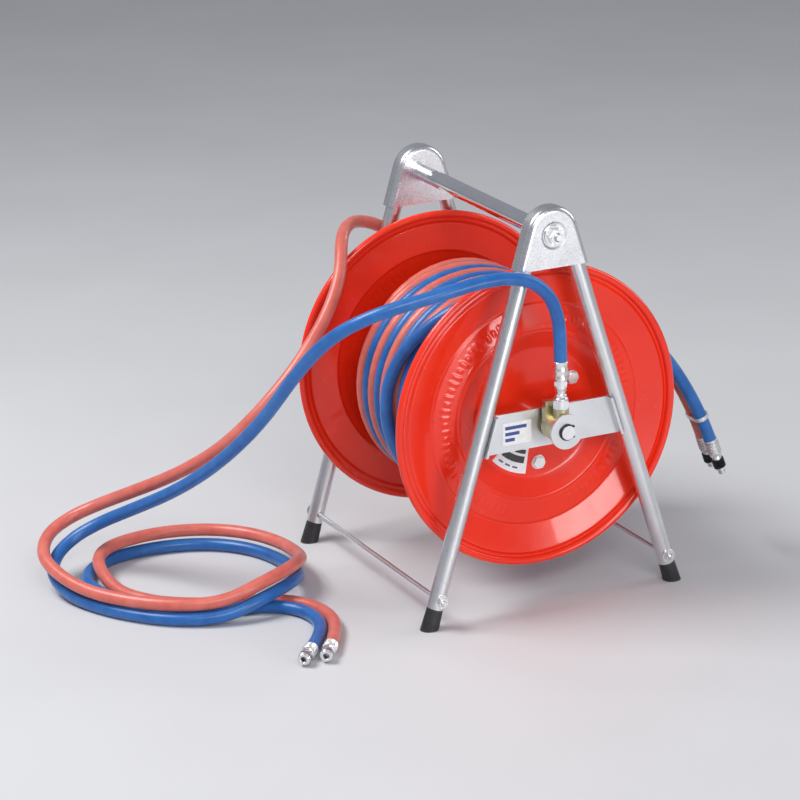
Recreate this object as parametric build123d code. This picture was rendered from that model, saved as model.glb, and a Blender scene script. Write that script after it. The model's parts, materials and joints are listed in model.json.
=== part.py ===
from build123d import *
from math import cos, hypot, pi, radians, sin, tan
import os

# Twin gas hose reel on an A-frame stand. Millimetres, +Z up.
# The drum turns about the Y axis through (0, 0, HUB_Z). The origin is on the floor below it.
# "near" is the -Y side, with the blue hose. "far" is the +Y side, with the red hose.
# Depths "out" are measured from the middle plane y = 0 towards the near side.

# Stand
FOOT_X = 157.2  # half spacing of the leg centre lines at the floor
APEX_Z = 506.5  # height where the leg centre lines would meet
FRAME_Y = 160.5  # half spacing of the two A-frames
HUB_Z = 217.8  # height of the drum axis
LEG_R = 9.55
LEG_WALL = 1.2
LEG_BOTTOM_Z = 24.0
LEG_TOP_Z = 446.0

# Rubber feet
FOOT_TOP_R = 9.3
FOOT_FLARE = 1.4  # how much the foot widens towards the floor
FOOT_STEM = 6.0

# Top brackets: a pressed dome over the two leg ends, open at the bottom
SHEET = 1.6
BRACKET_GAP = 0.25  # between a leg and the sheet around it
BRACKET_BOTTOM_Z = 401.0
DOME_R = 31.5
BRACKET_EDGE_R = 6.0
DIMPLE_R = 13.5
DIMPLE_DEPTH = 0.9

# Handle
HANDLE_Z = 437.9
HANDLE_R = 9.55
HANDLE_WALL = 1.5
HANDLE_ROD_R = 5.0
HANDLE_WASHER_R = 12.0
HANDLE_WASHER_T = 2.0
HANDLE_NUT_AF = 16.5
HANDLE_NUT_T = 8.0
HANDLE_ROD_SPARE = 3.0  # thread standing out of the nut
HOLE_CLEARANCE = 0.3  # radial, screw in a plain hole

# Crossbars
BAR_T = 3.0
BAR_BOTTOM_Z = 193.0
BAR_TOP_Z = 238.0
BAR_TAB = 12.0  # depth of the tabs welded to the legs
WELD_BITE = 0.6  # the bar is cut to a saddle this deep round the tube

# Tie rods
TIE_Z = 34.0
TIE_R = 3.0
TIE_WASHER_R = 8.0
TIE_WASHER_T = 1.6
TIE_NUT_AF = 10.0
TIE_NUT_T = 5.0
TIE_SPARE = 2.5

# Drum
FLANGE_R = 177.8
RIM_OUT = 133.0  # plane of the rim, out from the middle
BEAD_R = 4.5
FLANGE_T = 1.25
HUB_DEPTH = 14.0  # depth of the flat hub disc below the rim plane
CORE_R = 70.0
CORE_WALL = 1.5
CORE_RING_T = 3.0
CORE_RING_HOLE_R = 50.0
BOLT_CIRCLE_R = 60.0
BOLT_R = 4.0
BOLT_AF = 13.0
BOLT_HEAD_T = 5.3
BOLT_NUT_T = 6.5
BOLT_SPARE = 2.2
BOLT_ANGLES = (35.0, -85.0, 155.0)

# Depth below the rim plane of the flange's outer face, by radius, from the rim to the hub
FLANGE_PROFILE = (
    (170.5, 5.2),
    (165.5, 5.2),
    (162.5, 2.2),
    (131.5, 11.5),
    (129.5, 9.6),
    (125.5, 9.2),
    (105.0, 5.2),
    (101.0, 5.0),
    (99.5, 3.8),
    (97.5, 4.4),
    (76.0, HUB_DEPTH),
)

# Axle and feed pipes
AXLE_R = 8.0
AXLE_BORE_R = 4.0
AXLE_DISC_R = 30.0
AXLE_DISC_T = 5.0
AXLE_STUB = 3.4  # beyond the end disc
PORT_R = 2.5
BORE_PAST_PORT = 2.0  # the blind end of the axle bore lies this far past the port
PORT_GROOVE_DEPTH = 1.2
PORT_GROOVE_W = 6.0
PIPE_R = 5.0
PIPE_BORE_R = 3.5
PIPE_BEND_R = 14.0
NEAR_PIPE_OUT = 84.0
FAR_PIPE_OUT = 70.0
PIPE_SETBACK = 0.25  # the flat pipe end stays this far inside the round wall of the core
RUNNING_FIT = 0.05  # radial

# Bearing bush and swivel
BUSH_R = 11.0
BUSH_FLANGE_R = 13.5
BUSH_FLANGE_T = 2.0
NECK_R = 12.5
NECK_W = 4.5
SWIVEL_R = 16.0
SWIVEL_L = 33.0  # from the crossbar to the outer end face
INLET_SETBACK = 11.0  # plane of the hose inlet, back from the outer end face
BOSS_R = 9.0
BOSS_TOP_Z = 242.0
LUG_W = 29.0
LUG_T = 9.0
LUG_FROM_BAR = 8.5
LUG_TOP_Z = 249.0
DISC_R = 20.0
DISC_T = 3.0
DISC_HOLE_GAP = 0.3
SEAL_SECTION_R = 1.2
SEAL_GAP = 0.15
SEAL_SETBACKS = (19.0, 4.0)  # back from the outer end face
CIRCLIP_T = 1.2
CIRCLIP_BITE = 0.8
CIRCLIP_R = 9.8
CIRCLIP_GAP = 0.35  # between the circlip and the end disc
CIRCLIP_OPENING = 50.0  # degrees

# Inlet fitting
NIPPLE_R = 5.0
NIPPLE_DEPTH = 6.0
INLET_NUT_AF = 17.0
INLET_NUT_T = 17.0
NIPPLE_HEX_AF = 14.0
NIPPLE_HEX_T = 17.0
INLET_FERRULE_L = 19.0

# Hoses
HOSE_R = 7.5
PACK_R = 133.0
PACK_NEAR = 112.0  # reach of the wound hose to the near side
PACK_FAR = 92.0  # reach of the wound hose to the far side

# Hose ferrules and quick couplers
FERRULE_WALL = 0.8
FERRULE_LIP = 2.0
TAIL_R = 4.0
SUPPLY_FERRULE_L = 13.0
OUTLET_FERRULE_L = 18.0
COUPLER_AF = 13.0
COUPLER_HEX_T = 4.0
BARREL_R = 5.5
SOCKET_R = 3.2
SOCKET_DEPTH = 12.0
LIP_R = 6.3
LIP_T = 1.8
PLUG_R = 4.2
PLUG_L = 7.0
PLUG_BORE_R = 2.0
SLEEVE_R = 7.3
SLEEVE_L = 11.0
SLEEVE_TRAVEL = 4.0
SLEEVE_END_GAP = 0.3

# Clamp that ties the two outlet hoses
CLAMP_W = 5.0
CLAMP_T = 1.6
CLAMP_ALONG = 22.0  # from the fifth point of the outlet route

# Routes of the hoses, point by point
BLUE_SUPPLY = [
    (0, -184, 278),
    (0, -184, 316),
    (-3, -185, 350),
    (-17, -187, 380),
    (-45, -189, 400),
    (-88, -190, 406),
    (-152, -187, 396),
    (-220, -168, 380),
    (-256, -131, 350),
    (-277, -86, 300),
    (-297, -34, 232),
    (-323, 30, 169),
    (-352, 94, 120),
    (-386, 158, 82),
    (-410, 190, 62),
    (-442, 199, 46),
    (-472, 185, 32),
    (-487, 156, 21),
    (-484, 121, 12),
    (-472, 84, 7.6),
    (-449, 38, 7.6),
    (-408, -10, 7.6),
    (-354, -37, 9),
    (-308, -39, 24),
    (-267, -21, 27),
    (-238, 10, 23),
    (-222, 56, 10),
    (-222, 112, 7.6),
    (-240, 160, 7.6),
    (-276, 196, 7.6),
    (-330, 214, 7.6),
    (-390, 210, 7.6),
    (-436, 180, 7.6),
    (-452, 130, 7.6),
    (-438, 76, 7.6),
    (-404, 24, 7.6),
    (-352, -8, 7.6),
    (-300, -20, 7.6),
    (-266, -48, 7.6),
    (-260, -94, 7.6),
    (-282, -138, 7.6),
    (-312, -174, 8.8),
]
RED_SUPPLY = [
    (0, 184, 278),
    (0, 184, 312),
    (-7, 185, 338),
    (-22, 189, 357),
    (-45, 191, 373),
    (-74, 184, 382),
    (-98, 161, 382),
    (-117, 132, 375),
    (-132, 102, 354),
    (-147, 84, 333),
    (-168, 68, 309),
    (-195, 52, 285),
    (-227, 38, 258),
    (-260, 36, 228),
    (-288, 46, 198),
    (-314, 70, 166),
    (-348, 116, 130),
    (-382, 172, 98),
    (-407, 206, 78),
    (-441, 217, 64),
    (-474, 204, 53),
    (-494, 169, 42),
    (-490, 127, 32),
    (-475, 83, 25),
    (-449, 39, 23.6),
    (-406, -6, 23.6),
    (-352, -31, 25),
    (-306, -32, 40),
    (-266, -15, 43),
    (-234, 16, 39),
    (-214, 60, 26),
    (-213, 114, 23.6),
    (-234, 166, 23.6),
    (-274, 203, 23.6),
    (-330, 220, 23.6),
    (-388, 210, 24),
    (-421, 182, 24),
    (-431, 144, 17),
    (-427, 102, 7.8),
    (-413, 68, 7.6),
    (-390, 38, 7.6),
    (-342, 9, 7.6),
    (-292, -4, 7.6),
    (-252, -36, 7.6),
    (-242, -88, 7.6),
    (-262, -138, 7.6),
    (-288, -176, 8.8),
]
BLUE_OUTLET = [
    (70.5, -104, 339.9),
    (112, -104, 316),
    (156, -104, 281),
    (194, -104, 234),
    (220, -104, 190),
    (237, -104, 153),
    (247, -106, 125),
]
RED_OUTLET = [
    (70.5, -87, 339.9),
    (111, -87, 316.5),
    (157, -87, 282),
    (195, -87, 234),
    (220, -87, 190),
    (237, -87, 153),
    (248, -84, 125),
]

SLANT = hypot(FOOT_X, APEX_Z) / APEX_Z  # length along a leg for each unit of height
COS_LEG = APEX_Z / hypot(FOOT_X, APEX_Z)
SIN_LEG = FOOT_X / hypot(FOOT_X, APEX_Z)
HUB_OUT = RIM_OUT - HUB_DEPTH
HUB_INSIDE = HUB_OUT - FLANGE_T
BAR_OUT = FRAME_Y + BAR_T / 2  # outer face of the crossbar plate
SWIVEL_OUT = BAR_OUT + SWIVEL_L
INLET_OUT = SWIVEL_OUT - INLET_SETBACK
LUG_OUT = BAR_OUT + LUG_FROM_BAR
SEAL_OUTS = [SWIVEL_OUT - setback for setback in SEAL_SETBACKS]
BRACKET_HALF = LEG_R + BRACKET_GAP + SHEET
PIPE_REACH = CORE_R - PIPE_SETBACK
CIRCLIP_OUT = SWIVEL_OUT + DISC_T + CIRCLIP_GAP
BEGIN = (Align.CENTER, Align.CENTER, Align.MIN)


def rod(radius, out_a, out_b, x=0.0, z=HUB_Z):
    """Round bar along Y between two distances out from the middle, on the near side."""
    middle = -(out_a + out_b) / 2
    return Pos(x, middle, z) * Rot(90, 0, 0) * Cylinder(radius, abs(out_b - out_a))


def hexagon(flats, out_a, out_b, x=0.0, z=HUB_Z):
    """Hexagonal bar along Y between two distances out, flats apart by the given size."""
    middle = -(out_a + out_b) / 2
    face = RegularPolygon(flats / 2, 6, major_radius=False)
    bar = extrude(face, amount=abs(out_b - out_a) / 2, both=True)
    return Pos(x, middle, z) * Rot(90, 0, 0) * bar


def hexagon_up(flats, height):
    """Hexagonal bar standing on the local XY plane."""
    return extrude(RegularPolygon(flats / 2, 6, major_radius=False), amount=height)


def to_side(shape, side):
    """A near-side shape as it is, or mirrored to the far side."""
    return shape if side == "near" else mirror(shape, about=Plane.XZ)


def leg_x(z):
    """Distance of a leg's centre line from the middle at a height."""
    return FOOT_X * (1 - z / APEX_Z)


def leg_plane(hand, z):
    """Plane across a near leg at a height. hand is -1 for the left leg and 1 for the right."""
    return Plane(
        origin=(hand * leg_x(z), -FRAME_Y, z),
        z_dir=(-hand * FOOT_X, 0, APEX_Z),
    )


def leg_rod(hand, radius, low_z, high_z):
    return leg_plane(hand, low_z) * Cylinder(radius, (high_z - low_z) * SLANT, align=BEGIN)


def make_leg(hand):
    leg = leg_rod(hand, LEG_R, LEG_BOTTOM_Z, LEG_TOP_Z)
    leg -= leg_rod(hand, LEG_R - LEG_WALL, LEG_BOTTOM_Z - 5, LEG_TOP_Z + 5)
    reach = LEG_R + 5
    hole = rod(
        TIE_R + HOLE_CLEARANCE, FRAME_Y - reach, FRAME_Y + reach, hand * leg_x(TIE_Z), TIE_Z
    )
    return leg - hole


def make_foot(hand):
    top = leg_plane(hand, LEG_BOTTOM_Z)
    length = (LEG_BOTTOM_Z + FOOT_TOP_R) * SLANT
    cone = Cone(FOOT_TOP_R + FOOT_FLARE, FOOT_TOP_R, length)
    foot = top * Pos(0, 0, -length / 2) * cone
    foot += top * Cylinder(LEG_R - LEG_WALL, FOOT_STEM, align=BEGIN)
    below = Pos(hand * FOOT_X, -FRAME_Y, -30) * Box(120, 120, 60)
    return foot - below


def bracket_block(inset):
    """Solid dome, smaller by inset all round except at the bottom."""
    radius = DOME_R - inset
    side_offset = BRACKET_HALF - inset
    # The straight sides run parallel to the legs and touch the dome's arc
    centre_z = APEX_Z + (BRACKET_HALF - DOME_R) / SIN_LEG
    tangent = (radius * COS_LEG, centre_z + radius * SIN_LEG)
    foot = leg_x(BRACKET_BOTTOM_Z) + side_offset / COS_LEG
    sides = Polyline(
        (-tangent[0], tangent[1]),
        (-foot, BRACKET_BOTTOM_Z),
        (foot, BRACKET_BOTTOM_Z),
        tangent,
    )
    dome = ThreePointArc(tangent, (0, centre_z + radius), (-tangent[0], tangent[1]))
    face = Plane.XZ * make_face(sides + dome)
    half_depth = BRACKET_HALF - inset
    block = extrude(face, amount=half_depth, both=True)
    edges = [
        edge
        for edge in block.edges()
        if abs(abs(edge.center().Y) - half_depth) < 0.01
        and edge.center().Z > BRACKET_BOTTOM_Z + 1
    ]
    return Pos(0, -FRAME_Y, 0) * fillet(edges, BRACKET_EDGE_R - inset)


def make_bracket():
    cavity = bracket_block(SHEET)
    bracket = bracket_block(0) - cavity
    # The cavity is carried on through the open bottom
    foot = leg_x(BRACKET_BOTTOM_Z) + (BRACKET_HALF - SHEET) / COS_LEG
    mouth_depth = 2 * (BRACKET_HALF - SHEET)
    bracket -= Pos(0, -FRAME_Y, BRACKET_BOTTOM_Z) * Box(2 * foot, mouth_depth, 0.5)
    outer = FRAME_Y + BRACKET_HALF
    dish = Cone(DIMPLE_R, DIMPLE_R + 2.5, DIMPLE_DEPTH)
    bracket -= Pos(0, -outer + DIMPLE_DEPTH / 2, HANDLE_Z) * Rot(90, 0, 0) * dish
    hole_r = HANDLE_ROD_R + HOLE_CLEARANCE
    return bracket - rod(hole_r, FRAME_Y - 20, FRAME_Y + 20, 0, HANDLE_Z)


def make_handle():
    """Grip tube between the brackets, with the long screwed rod, washers and nuts that hold it."""
    inner = FRAME_Y - BRACKET_HALF
    washer_in = FRAME_Y + BRACKET_HALF - DIMPLE_DEPTH
    washer_out = washer_in + HANDLE_WASHER_T
    nut_out = washer_out + HANDLE_NUT_T
    rod_out = nut_out + HANDLE_ROD_SPARE
    tube = rod(HANDLE_R, -inner, inner, 0, HANDLE_Z)
    tube -= rod(HANDLE_R - HANDLE_WALL, -inner - 5, inner + 5, 0, HANDLE_Z)
    screw = rod(HANDLE_ROD_R, -rod_out, rod_out, 0, HANDLE_Z)
    screw = chamfer(screw.faces().filter_by(Axis.Y).edges(), 1.0)
    washer = rod(HANDLE_WASHER_R, washer_in, washer_out, 0, HANDLE_Z)
    washer -= rod(HANDLE_ROD_R + HOLE_CLEARANCE, washer_in - 1, washer_out + 1, 0, HANDLE_Z)
    nut = hexagon(HANDLE_NUT_AF, washer_out, nut_out, 0, HANDLE_Z)
    nut -= rod(HANDLE_ROD_R, washer_out - 1, nut_out + 1, 0, HANDLE_Z)
    return {
        "handle_bar": tube,
        "handle_rod": screw,
        "handle_washers": pair(washer),
        "handle_nuts": pair(nut),
    }


def pair(shape):
    """The near-side shape and its far-side twin, as separate solids of one node."""
    return Compound(children=[shape, mirror(shape, about=Plane.XZ)])


def bar_half_width(z, inset=0.0):
    return leg_x(z) - (LEG_R - WELD_BITE + inset) / COS_LEG


def make_crossbar():
    low, high = bar_half_width(BAR_BOTTOM_Z), bar_half_width(BAR_TOP_Z)
    outline = Polyline(
        (-low, BAR_BOTTOM_Z), (low, BAR_BOTTOM_Z), (high, BAR_TOP_Z), (-high, BAR_TOP_Z), close=True
    )
    bar = extrude(Plane.XZ * make_face(outline), amount=BAR_T / 2, both=True)
    bar = Pos(0, -FRAME_Y, 0) * bar
    for hand in (-1, 1):
        tab_outline = Polyline(
            (hand * low, BAR_BOTTOM_Z),
            (hand * bar_half_width(BAR_BOTTOM_Z, BAR_T), BAR_BOTTOM_Z),
            (hand * bar_half_width(BAR_TOP_Z, BAR_T), BAR_TOP_Z),
            (hand * high, BAR_TOP_Z),
            close=True,
        )
        tab = extrude(Plane.XZ * make_face(tab_outline), amount=BAR_TAB / 2, both=True)
        bar += Pos(0, -FRAME_Y + BAR_T / 2 - BAR_TAB / 2, 0) * tab
    for hand in (-1, 1):
        bar -= leg_rod(hand, LEG_R, LEG_BOTTOM_Z, LEG_TOP_Z)
    return bar - rod(BUSH_R, FRAME_Y - 10, FRAME_Y + 10)


def make_tie_rod(hand):
    x = hand * leg_x(TIE_Z)
    washer_in = FRAME_Y + LEG_R
    washer_out = washer_in + TIE_WASHER_T
    nut_out = washer_out + TIE_NUT_T
    rod_out = nut_out + TIE_SPARE
    tie = rod(TIE_R, -rod_out, rod_out, x, TIE_Z)
    washer = rod(TIE_WASHER_R, washer_in, washer_out, x, TIE_Z)
    washer -= rod(TIE_R + HOLE_CLEARANCE, washer_in - 1, washer_out + 1, x, TIE_Z)
    nut = hexagon(TIE_NUT_AF, washer_out, nut_out, x, TIE_Z)
    nut -= rod(TIE_R, washer_out - 1, nut_out + 1, x, TIE_Z)
    return tie, washer, nut


def hub_ring_points():
    """The fixing points of the flange on its bolt circle."""
    points = []
    for angle in BOLT_ANGLES:
        x = BOLT_CIRCLE_R * cos(radians(angle))
        z = HUB_Z + BOLT_CIRCLE_R * sin(radians(angle))
        points.append((x, z))
    return points


def make_flange():
    """Pressed disc, revolved, with a rolled bead round its rim."""
    outer = [(radius, depth) for radius, depth in FLANGE_PROFILE] + [(0.0, HUB_DEPTH)]
    inner = [(radius, depth + FLANGE_T) for radius, depth in reversed(outer)]
    line = Polyline(*[(radius, depth - RIM_OUT) for radius, depth in outer + inner], close=True)
    bead = Pos(FLANGE_R - BEAD_R, BEAD_R - RIM_OUT) * Circle(BEAD_R)
    section = make_face(line) + bead
    flange = Pos(0, 0, HUB_Z) * revolve(section, axis=Axis.Y)
    flange -= rod(AXLE_R, HUB_INSIDE - 5, HUB_OUT + 5)
    for x, z in hub_ring_points():
        flange -= rod(BOLT_R + HOLE_CLEARANCE, HUB_INSIDE - 5, HUB_OUT + 5, x, z)
    return flange


def make_core():
    """Sheet tube between the flanges, with a ring at each end for the flange bolts."""
    core = rod(CORE_R, -HUB_INSIDE, HUB_INSIDE)
    core -= rod(CORE_R - CORE_WALL, CORE_RING_T - HUB_INSIDE, HUB_INSIDE - CORE_RING_T)
    core -= rod(CORE_RING_HOLE_R, -HUB_INSIDE - 1, HUB_INSIDE + 1)
    for x, z in hub_ring_points():
        core -= rod(BOLT_R + HOLE_CLEARANCE, -HUB_INSIDE - 1, HUB_INSIDE + 1, x, z)
    core -= Pos(0, -NEAR_PIPE_OUT, HUB_Z) * Cylinder(PIPE_R, CORE_R + 5, align=BEGIN)
    core -= Pos(0, FAR_PIPE_OUT, HUB_Z) * Cylinder(PIPE_R, CORE_R + 5, align=BEGIN)
    return core


def make_flange_bolts():
    """Screws and nuts of the near flange, one of each at every fixing point."""
    screws, nuts = [], []
    ring_face = HUB_INSIDE - CORE_RING_T
    nut_in = ring_face - BOLT_NUT_T
    for x, z in hub_ring_points():
        screw = rod(BOLT_R, nut_in - BOLT_SPARE, HUB_OUT, x, z)
        screws.append(screw + hexagon(BOLT_AF, HUB_OUT, HUB_OUT + BOLT_HEAD_T, x, z))
        nut = hexagon(BOLT_AF, nut_in, ring_face, x, z)
        nuts.append(nut - rod(BOLT_R, nut_in - 1, ring_face + 1, x, z))
    return screws, nuts


def make_axle():
    """Hollow stub with a welded disc inside the flange, a gas port and a circlip groove."""
    disc_in = HUB_INSIDE - AXLE_DISC_T
    end = SWIVEL_OUT + DISC_T + AXLE_STUB
    axle = rod(AXLE_R, disc_in, end) + rod(AXLE_DISC_R, disc_in, HUB_INSIDE)
    axle -= rod(AXLE_BORE_R, disc_in - 1, INLET_OUT + PORT_R + BORE_PAST_PORT)
    half = PORT_GROOVE_W / 2
    groove = rod(AXLE_R + 1, INLET_OUT - half, INLET_OUT + half)
    axle -= groove - rod(AXLE_R - PORT_GROOVE_DEPTH, INLET_OUT - half, INLET_OUT + half)
    axle -= Pos(0, -INLET_OUT, HUB_Z) * Cylinder(PORT_R, AXLE_R + 1, align=BEGIN)
    clip = rod(AXLE_R + 1, CIRCLIP_OUT, CIRCLIP_OUT + CIRCLIP_T)
    return axle - (clip - rod(AXLE_R - CIRCLIP_BITE, CIRCLIP_OUT, CIRCLIP_OUT + CIRCLIP_T))


def make_circlip():
    ring = rod(CIRCLIP_R, CIRCLIP_OUT, CIRCLIP_OUT + CIRCLIP_T)
    ring -= rod(AXLE_R - CIRCLIP_BITE, CIRCLIP_OUT - 1, CIRCLIP_OUT + CIRCLIP_T + 1)
    reach = 2 * CIRCLIP_R
    half = reach * tan(radians(CIRCLIP_OPENING / 2))
    gap = make_face(Polyline((0, 0), (reach, -half), (reach, half), close=True))
    wedge = extrude(Plane.XZ * gap, amount=CIRCLIP_T + 2, both=True)
    return ring - Pos(0, -CIRCLIP_OUT, HUB_Z) * wedge


def make_feed_pipe(out):
    """Bent pipe from the axle's inner end to the wall of the core."""
    start = HUB_INSIDE - AXLE_DISC_T
    path = FilletPolyline(
        (0, -start, HUB_Z), (0, -out, HUB_Z), (0, -out, HUB_Z + PIPE_REACH), radius=PIPE_BEND_R
    )
    mouth = Plane(origin=(0, -start, HUB_Z), z_dir=(0, 1, 0))
    outside = sweep(mouth * Circle(PIPE_R), path=path)
    inside = sweep(mouth * Circle(PIPE_BORE_R), path=path)
    return outside - inside


def make_bush():
    inner = BAR_OUT - BAR_T - BUSH_FLANGE_T
    bush = rod(BUSH_R, inner, BAR_OUT) + rod(BUSH_FLANGE_R, inner, inner + BUSH_FLANGE_T)
    return bush - rod(AXLE_R + RUNNING_FIT, inner - 1, BAR_OUT + 1)


def make_swivel_body():
    """Round gas housing on a neck, with the inlet boss on top and a lug that stops it turning."""
    neck_out = BAR_OUT + NECK_W
    body = rod(NECK_R, BAR_OUT, neck_out) + rod(SWIVEL_R, neck_out, SWIVEL_OUT)
    boss_height = BOSS_TOP_Z - HUB_Z
    body += Pos(0, -INLET_OUT, HUB_Z) * Cylinder(BOSS_R, boss_height, align=BEGIN)
    lug_height = LUG_TOP_Z - HUB_Z
    body += Pos(0, -LUG_OUT, HUB_Z) * Box(LUG_W, LUG_T, lug_height, align=BEGIN)
    body -= rod(AXLE_R + RUNNING_FIT, BAR_OUT - 1, SWIVEL_OUT + 1)
    for out in SEAL_OUTS:
        groove_r = AXLE_R + SEAL_GAP + 2 * SEAL_SECTION_R
        body -= rod(groove_r, out - SEAL_SECTION_R - 0.1, out + SEAL_SECTION_R + 0.1)
    body -= Pos(0, -INLET_OUT, HUB_Z) * Cylinder(PORT_R, boss_height + 1, align=BEGIN)
    seat = BOSS_TOP_Z - NIPPLE_DEPTH
    return body - Pos(0, -INLET_OUT, seat) * Cylinder(NIPPLE_R, NIPPLE_DEPTH + 1, align=BEGIN)


def make_seal(out):
    ring = Torus(AXLE_R + SEAL_GAP + SEAL_SECTION_R, SEAL_SECTION_R)
    return Pos(0, -out, HUB_Z) * Rot(90, 0, 0) * ring


def make_end_disc():
    disc = rod(DISC_R, SWIVEL_OUT, SWIVEL_OUT + DISC_T)
    return disc - rod(AXLE_R + DISC_HOLE_GAP, SWIVEL_OUT - 1, SWIVEL_OUT + DISC_T + 1)


def make_inlet():
    """Nipple, union nut and ferrule that stand on the swivel's boss."""
    foot = Pos(0, -INLET_OUT, BOSS_TOP_Z)
    nut_top = INLET_NUT_T
    hex_top = nut_top + NIPPLE_HEX_T
    tail_top = BLUE_SUPPLY[0][2] - BOSS_TOP_Z
    nipple = foot * Pos(0, 0, -NIPPLE_DEPTH) * Cylinder(
        NIPPLE_R, NIPPLE_DEPTH + tail_top, align=BEGIN
    )
    nipple += foot * Pos(0, 0, nut_top) * hexagon_up(NIPPLE_HEX_AF, hex_top - nut_top)
    nipple -= foot * Pos(0, 0, -NIPPLE_DEPTH - 1) * Cylinder(
        PORT_R, NIPPLE_DEPTH + tail_top + 2, align=BEGIN
    )
    nut = foot * hexagon_up(INLET_NUT_AF, nut_top)
    nut -= foot * Pos(0, 0, -1) * Cylinder(NIPPLE_R, nut_top + 2, align=BEGIN)
    ferrule = foot * Pos(0, 0, hex_top) * Cylinder(
        HOSE_R + FERRULE_WALL, tail_top - hex_top + INLET_FERRULE_L, align=BEGIN
    )
    ferrule -= foot * Pos(0, 0, tail_top) * Cylinder(HOSE_R, INLET_FERRULE_L + 1, align=BEGIN)
    ferrule -= foot * Pos(0, 0, hex_top - 1) * Cylinder(
        NIPPLE_R, tail_top - hex_top + 2, align=BEGIN
    )
    return nipple, nut, ferrule


def bend_radii(points):
    """Radius of the tangent arc at each inner point of a route."""
    radii = []
    for before, here, after in zip(points, points[1:], points[2:]):
        run_in = Vector(*here) - Vector(*before)
        run_out = Vector(*after) - Vector(*here)
        half_turn = radians(run_in.get_angle(run_out)) / 2
        radii.append(0.45 * min(run_in.length, run_out.length) / tan(half_turn))
    return radii


def make_hose(name, points):
    """Plain tube along a route of straight runs joined by tangent arcs."""
    radii = bend_radii(points)
    path = FilletPolyline(*points, radius=radii)
    start = Plane(origin=points[0], z_dir=Vector(*points[1]) - Vector(*points[0]))
    hose = sweep(start * Circle(HOSE_R), path=path)
    section = pi * HOSE_R**2
    print(name, "length", round(path.length, 1), "bends", [round(radius) for radius in radii])
    print(name, "volume over section times length", round(hose.volume / section / path.length, 4))
    return hose


def end_plane(points):
    """Plane across a hose's cut end, looking the way the hose runs."""
    return Plane(origin=points[-1], z_dir=Vector(*points[-1]) - Vector(*points[-2]))


def make_ferrule(points, length):
    ferrule = Pos(0, 0, FERRULE_LIP - length) * Cylinder(HOSE_R + FERRULE_WALL, length, align=BEGIN)
    ferrule -= Pos(0, 0, -length) * Cylinder(HOSE_R, length, align=BEGIN)
    ferrule -= Pos(0, 0, -1) * Cylinder(TAIL_R, FERRULE_LIP + 2, align=BEGIN)
    return end_plane(points) * ferrule


def sleeve_start():
    """Where a coupler's sleeve begins along the coupler, at rest."""
    return FERRULE_LIP + COUPLER_HEX_T + SLEEVE_TRAVEL + SLEEVE_END_GAP


def make_coupler(points, plug):
    """Hose tail, hexagon and barrel with a retaining lip. A plug stands out of an outlet's lip."""
    hex_out = FERRULE_LIP + COUPLER_HEX_T
    lip_in = sleeve_start() + SLEEVE_L + SLEEVE_END_GAP
    lip_out = lip_in + LIP_T
    coupler = Cylinder(TAIL_R, FERRULE_LIP, align=BEGIN)
    coupler += Pos(0, 0, FERRULE_LIP) * hexagon_up(COUPLER_AF, COUPLER_HEX_T)
    coupler += Pos(0, 0, hex_out) * Cylinder(BARREL_R, lip_out - hex_out, align=BEGIN)
    coupler += Pos(0, 0, lip_in) * Cylinder(LIP_R, LIP_T, align=BEGIN)
    if plug:
        coupler += Pos(0, 0, lip_out) * Cylinder(PLUG_R, PLUG_L, align=BEGIN)
        coupler -= Cylinder(PLUG_BORE_R, lip_out + PLUG_L + 1, align=BEGIN)
    else:
        coupler -= Cylinder(PLUG_BORE_R, lip_out, align=BEGIN)
        socket = Cylinder(SOCKET_R, SOCKET_DEPTH + 1, align=BEGIN)
        coupler -= Pos(0, 0, lip_out - SOCKET_DEPTH) * socket
    return end_plane(points) * coupler


def make_sleeve(points):
    sleeve = Cylinder(SLEEVE_R, SLEEVE_L, align=BEGIN)
    sleeve -= Pos(0, 0, -1) * Cylinder(BARREL_R + RUNNING_FIT, SLEEVE_L + 2, align=BEGIN)
    return end_plane(points) * Pos(0, 0, sleeve_start()) * sleeve


def make_wound_hose():
    """Outer shape of all the turns on the drum."""
    pack = rod(PACK_R, -PACK_FAR, PACK_NEAR)
    return pack - rod(CORE_R, -PACK_FAR - 1, PACK_NEAR + 1)


def make_clamp():
    """Strap round the two outlet hoses, across their fifth run."""
    before, after = Vector(*BLUE_OUTLET[4]), Vector(*BLUE_OUTLET[5])
    twin = Vector(*RED_OUTLET[4])
    along = (after - before).normalized()
    across = twin - before
    middle = before + across * 0.5 + along * CLAMP_ALONG
    plane = Plane(origin=middle, x_dir=across, z_dir=along)
    spread = across.length
    outer = SlotCenterToCenter(spread, 2 * (HOSE_R + CLAMP_T))
    inner = SlotCenterToCenter(spread, 2 * HOSE_R)
    return plane * extrude(outer - inner, amount=CLAMP_W / 2, both=True)


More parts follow.
